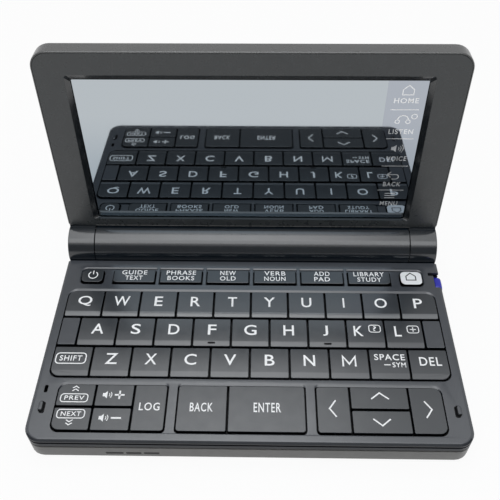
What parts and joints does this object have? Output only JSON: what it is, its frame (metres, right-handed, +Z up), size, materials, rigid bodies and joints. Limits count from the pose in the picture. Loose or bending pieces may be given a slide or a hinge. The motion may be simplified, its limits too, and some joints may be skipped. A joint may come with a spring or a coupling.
{
  "type": "electronic dictionary",
  "caption": "Pocket electronic dictionary: a hinged lid with a wide touch screen, a letter keyboard, narrow function keys, a round hinge barrel that holds its cells, and a side stylus.",
  "frame": {"origin": "on the surface it stands on, under the middle of the box round the open dictionary", "axes": "+X to the user's right along the hinge, +Y from the keyboard's front edge to the hinge, +Z up"},
  "size_m": [0.1497, 0.0999, 0.0988],
  "materials": {
    "dark_plastic": "satin dark grey",
    "case_plastic": "satin grey",
    "key_plastic": "satin, printed",
    "white_plastic": "semi-gloss",
    "rubber": "matt",
    "board": "solder mask",
    "cell": "plain sleeve",
    "steel": "machined",
    "blue_plastic": "semi-gloss",
    "display": "glossy"
  },
  "bodies": {
    "base": {"keyboard_deck": "dark_plastic", "bottom_case": "case_plastic", "key_mat": "rubber", "main_board": "board", "battery_left": "cell", "battery_right": "cell", "friction_hinge": "steel"},
    "lid": {"lid_cover": "dark_plastic", "lid_bezel": "dark_plastic", "display_module": "display"},
    "battery_cover": {"battery_cover": "case_plastic"},
    "stylus": {"stylus": "blue_plastic"},
    "key_power": {"key_power": "key_plastic"},
    "key_function_1": {"key_function_1": "key_plastic"},
    "key_function_2": {"key_function_2": "key_plastic"},
    "key_function_3": {"key_function_3": "key_plastic"},
    "key_function_4": {"key_function_4": "key_plastic"},
    "key_function_5": {"key_function_5": "key_plastic"},
    "key_function_6": {"key_function_6": "key_plastic"},
    "key_home": {"key_home": "white_plastic"},
    "key_q": {"key_q": "key_plastic"},
    "key_w": {"key_w": "key_plastic"},
    "key_e": {"key_e": "key_plastic"},
    "key_r": {"key_r": "key_plastic"},
    "key_t": {"key_t": "key_plastic"},
    "key_y": {"key_y": "key_plastic"},
    "key_u": {"key_u": "key_plastic"},
    "key_i": {"key_i": "key_plastic"},
    "key_o": {"key_o": "key_plastic"},
    "key_p": {"key_p": "key_plastic"},
    "key_a": {"key_a": "key_plastic"},
    "key_s": {"key_s": "key_plastic"},
    "key_d": {"key_d": "key_plastic"},
    "key_f": {"key_f": "key_plastic"},
    "key_g": {"key_g": "key_plastic"},
    "key_h": {"key_h": "key_plastic"},
    "key_j": {"key_j": "key_plastic"},
    "key_k": {"key_k": "key_plastic"},
    "key_l": {"key_l": "key_plastic"},
    "key_shift": {"key_shift": "key_plastic"},
    "key_z": {"key_z": "key_plastic"},
    "key_x": {"key_x": "key_plastic"},
    "key_c": {"key_c": "key_plastic"},
    "key_v": {"key_v": "key_plastic"},
    "key_b": {"key_b": "key_plastic"},
    "key_n": {"key_n": "key_plastic"},
    "key_m": {"key_m": "key_plastic"},
    "key_space": {"key_space": "key_plastic"},
    "key_delete": {"key_delete": "key_plastic"},
    "key_heading_previous": {"key_heading_previous": "key_plastic"},
    "key_heading_next": {"key_heading_next": "key_plastic"},
    "key_volume_up": {"key_volume_up": "key_plastic"},
    "key_volume_down": {"key_volume_down": "key_plastic"},
    "key_history": {"key_history": "key_plastic"},
    "key_back": {"key_back": "key_plastic"},
    "key_enter": {"key_enter": "key_plastic"},
    "key_cursor_left": {"key_cursor_left": "key_plastic"},
    "key_cursor_up": {"key_cursor_up": "key_plastic"},
    "key_cursor_down": {"key_cursor_down": "key_plastic"},
    "key_cursor_right": {"key_cursor_right": "key_plastic"}
  },
  "joints": [
    {"name": "lid_hinge", "type": "hinge", "parent": "base", "child": "lid", "pos_m": [0, 0.03698, 0.01193], "axis": [1, 0, 0], "range_deg": [-56, 94]},
    {"name": "battery_cover_slide", "type": "slide", "parent": "base", "child": "battery_cover", "axis": [0, 1, 0], "range_m": [0, 0.014]},
    {"name": "stylus_slide", "type": "slide", "parent": "base", "child": "stylus", "axis": [1, 0, 0], "range_m": [0, 0.078]},
    {"name": "key_power_press", "type": "slide", "parent": "base", "child": "key_power", "axis": [0, 0, -1], "range_m": [0, 0.0006], "stiffness_N_per_m": 600, "deforming": ["key_mat"]},
    {"name": "key_function_1_press", "type": "slide", "parent": "base", "child": "key_function_1", "axis": [0, 0, -1], "range_m": [0, 0.0006], "stiffness_N_per_m": 600, "deforming": ["key_mat"]},
    {"name": "key_function_2_press", "type": "slide", "parent": "base", "child": "key_function_2", "axis": [0, 0, -1], "range_m": [0, 0.0006], "stiffness_N_per_m": 600, "deforming": ["key_mat"]},
    {"name": "key_function_3_press", "type": "slide", "parent": "base", "child": "key_function_3", "axis": [0, 0, -1], "range_m": [0, 0.0006], "stiffness_N_per_m": 600, "deforming": ["key_mat"]},
    {"name": "key_function_4_press", "type": "slide", "parent": "base", "child": "key_function_4", "axis": [0, 0, -1], "range_m": [0, 0.0006], "stiffness_N_per_m": 600, "deforming": ["key_mat"]},
    {"name": "key_function_5_press", "type": "slide", "parent": "base", "child": "key_function_5", "axis": [0, 0, -1], "range_m": [0, 0.0006], "stiffness_N_per_m": 600, "deforming": ["key_mat"]},
    {"name": "key_function_6_press", "type": "slide", "parent": "base", "child": "key_function_6", "axis": [0, 0, -1], "range_m": [0, 0.0006], "stiffness_N_per_m": 600, "deforming": ["key_mat"]},
    {"name": "key_home_press", "type": "slide", "parent": "base", "child": "key_home", "axis": [0, 0, -1], "range_m": [0, 0.0006], "stiffness_N_per_m": 600, "deforming": ["key_mat"]},
    {"name": "key_q_press", "type": "slide", "parent": "base", "child": "key_q", "axis": [0, 0, -1], "range_m": [0, 0.0006], "stiffness_N_per_m": 600, "deforming": ["key_mat"]},
    {"name": "key_w_press", "type": "slide", "parent": "base", "child": "key_w", "axis": [0, 0, -1], "range_m": [0, 0.0006], "stiffness_N_per_m": 600, "deforming": ["key_mat"]},
    {"name": "key_e_press", "type": "slide", "parent": "base", "child": "key_e", "axis": [0, 0, -1], "range_m": [0, 0.0006], "stiffness_N_per_m": 600, "deforming": ["key_mat"]},
    {"name": "key_r_press", "type": "slide", "parent": "base", "child": "key_r", "axis": [0, 0, -1], "range_m": [0, 0.0006], "stiffness_N_per_m": 600, "deforming": ["key_mat"]},
    {"name": "key_t_press", "type": "slide", "parent": "base", "child": "key_t", "axis": [0, 0, -1], "range_m": [0, 0.0006], "stiffness_N_per_m": 600, "deforming": ["key_mat"]},
    {"name": "key_y_press", "type": "slide", "parent": "base", "child": "key_y", "axis": [0, 0, -1], "range_m": [0, 0.0006], "stiffness_N_per_m": 600, "deforming": ["key_mat"]},
    {"name": "key_u_press", "type": "slide", "parent": "base", "child": "key_u", "axis": [0, 0, -1], "range_m": [0, 0.0006], "stiffness_N_per_m": 600, "deforming": ["key_mat"]},
    {"name": "key_i_press", "type": "slide", "parent": "base", "child": "key_i", "axis": [0, 0, -1], "range_m": [0, 0.0006], "stiffness_N_per_m": 600, "deforming": ["key_mat"]},
    {"name": "key_o_press", "type": "slide", "parent": "base", "child": "key_o", "axis": [0, 0, -1], "range_m": [0, 0.0006], "stiffness_N_per_m": 600, "deforming": ["key_mat"]},
    {"name": "key_p_press", "type": "slide", "parent": "base", "child": "key_p", "axis": [0, 0, -1], "range_m": [0, 0.0006], "stiffness_N_per_m": 600, "deforming": ["key_mat"]},
    {"name": "key_a_press", "type": "slide", "parent": "base", "child": "key_a", "axis": [0, 0, -1], "range_m": [0, 0.0006], "stiffness_N_per_m": 600, "deforming": ["key_mat"]},
    {"name": "key_s_press", "type": "slide", "parent": "base", "child": "key_s", "axis": [0, 0, -1], "range_m": [0, 0.0006], "stiffness_N_per_m": 600, "deforming": ["key_mat"]},
    {"name": "key_d_press", "type": "slide", "parent": "base", "child": "key_d", "axis": [0, 0, -1], "range_m": [0, 0.0006], "stiffness_N_per_m": 600, "deforming": ["key_mat"]},
    {"name": "key_f_press", "type": "slide", "parent": "base", "child": "key_f", "axis": [0, 0, -1], "range_m": [0, 0.0006], "stiffness_N_per_m": 600, "deforming": ["key_mat"]},
    {"name": "key_g_press", "type": "slide", "parent": "base", "child": "key_g", "axis": [0, 0, -1], "range_m": [0, 0.0006], "stiffness_N_per_m": 600, "deforming": ["key_mat"]},
    {"name": "key_h_press", "type": "slide", "parent": "base", "child": "key_h", "axis": [0, 0, -1], "range_m": [0, 0.0006], "stiffness_N_per_m": 600, "deforming": ["key_mat"]},
    {"name": "key_j_press", "type": "slide", "parent": "base", "child": "key_j", "axis": [0, 0, -1], "range_m": [0, 0.0006], "stiffness_N_per_m": 600, "deforming": ["key_mat"]},
    {"name": "key_k_press", "type": "slide", "parent": "base", "child": "key_k", "axis": [0, 0, -1], "range_m": [0, 0.0006], "stiffness_N_per_m": 600, "deforming": ["key_mat"]},
    {"name": "key_l_press", "type": "slide", "parent": "base", "child": "key_l", "axis": [0, 0, -1], "range_m": [0, 0.0006], "stiffness_N_per_m": 600, "deforming": ["key_mat"]},
    {"name": "key_shift_press", "type": "slide", "parent": "base", "child": "key_shift", "axis": [0, 0, -1], "range_m": [0, 0.0006], "stiffness_N_per_m": 600, "deforming": ["key_mat"]},
    {"name": "key_z_press", "type": "slide", "parent": "base", "child": "key_z", "axis": [0, 0, -1], "range_m": [0, 0.0006], "stiffness_N_per_m": 600, "deforming": ["key_mat"]},
    {"name": "key_x_press", "type": "slide", "parent": "base", "child": "key_x", "axis": [0, 0, -1], "range_m": [0, 0.0006], "stiffness_N_per_m": 600, "deforming": ["key_mat"]},
    {"name": "key_c_press", "type": "slide", "parent": "base", "child": "key_c", "axis": [0, 0, -1], "range_m": [0, 0.0006], "stiffness_N_per_m": 600, "deforming": ["key_mat"]},
    {"name": "key_v_press", "type": "slide", "parent": "base", "child": "key_v", "axis": [0, 0, -1], "range_m": [0, 0.0006], "stiffness_N_per_m": 600, "deforming": ["key_mat"]},
    {"name": "key_b_press", "type": "slide", "parent": "base", "child": "key_b", "axis": [0, 0, -1], "range_m": [0, 0.0006], "stiffness_N_per_m": 600, "deforming": ["key_mat"]},
    {"name": "key_n_press", "type": "slide", "parent": "base", "child": "key_n", "axis": [0, 0, -1], "range_m": [0, 0.0006], "stiffness_N_per_m": 600, "deforming": ["key_mat"]},
    {"name": "key_m_press", "type": "slide", "parent": "base", "child": "key_m", "axis": [0, 0, -1], "range_m": [0, 0.0006], "stiffness_N_per_m": 600, "deforming": ["key_mat"]},
    {"name": "key_space_press", "type": "slide", "parent": "base", "child": "key_space", "axis": [0, 0, -1], "range_m": [0, 0.0006], "stiffness_N_per_m": 600, "deforming": ["key_mat"]},
    {"name": "key_delete_press", "type": "slide", "parent": "base", "child": "key_delete", "axis": [0, 0, -1], "range_m": [0, 0.0006], "stiffness_N_per_m": 600, "deforming": ["key_mat"]},
    {"name": "key_heading_previous_press", "type": "slide", "parent": "base", "child": "key_heading_previous", "axis": [0, 0, -1], "range_m": [0, 0.0006], "stiffness_N_per_m": 600, "deforming": ["key_mat"]},
    {"name": "key_heading_next_press", "type": "slide", "parent": "base", "child": "key_heading_next", "axis": [0, 0, -1], "range_m": [0, 0.0006], "stiffness_N_per_m": 600, "deforming": ["key_mat"]},
    {"name": "key_volume_up_press", "type": "slide", "parent": "base", "child": "key_volume_up", "axis": [0, 0, -1], "range_m": [0, 0.0006], "stiffness_N_per_m": 600, "deforming": ["key_mat"]},
    {"name": "key_volume_down_press", "type": "slide", "parent": "base", "child": "key_volume_down", "axis": [0, 0, -1], "range_m": [0, 0.0006], "stiffness_N_per_m": 600, "deforming": ["key_mat"]},
    {"name": "key_history_press", "type": "slide", "parent": "base", "child": "key_history", "axis": [0, 0, -1], "range_m": [0, 0.0006], "stiffness_N_per_m": 600, "deforming": ["key_mat"]},
    {"name": "key_back_press", "type": "slide", "parent": "base", "child": "key_back", "axis": [0, 0, -1], "range_m": [0, 0.0006], "stiffness_N_per_m": 600, "deforming": ["key_mat"]},
    {"name": "key_enter_press", "type": "slide", "parent": "base", "child": "key_enter", "axis": [0, 0, -1], "range_m": [0, 0.0006], "stiffness_N_per_m": 600, "deforming": ["key_mat"]},
    {"name": "key_cursor_left_press", "type": "slide", "parent": "base", "child": "key_cursor_left", "axis": [0, 0, -1], "range_m": [0, 0.0006], "stiffness_N_per_m": 600, "deforming": ["key_mat"]},
    {"name": "key_cursor_up_press", "type": "slide", "parent": "base", "child": "key_cursor_up", "axis": [0, 0, -1], "range_m": [0, 0.0006], "stiffness_N_per_m": 600, "deforming": ["key_mat"]},
    {"name": "key_cursor_down_press", "type": "slide", "parent": "base", "child": "key_cursor_down", "axis": [0, 0, -1], "range_m": [0, 0.0006], "stiffness_N_per_m": 600, "deforming": ["key_mat"]},
    {"name": "key_cursor_right_press", "type": "slide", "parent": "base", "child": "key_cursor_right", "axis": [0, 0, -1], "range_m": [0, 0.0006], "stiffness_N_per_m": 600, "deforming": ["key_mat"]}
  ]
}
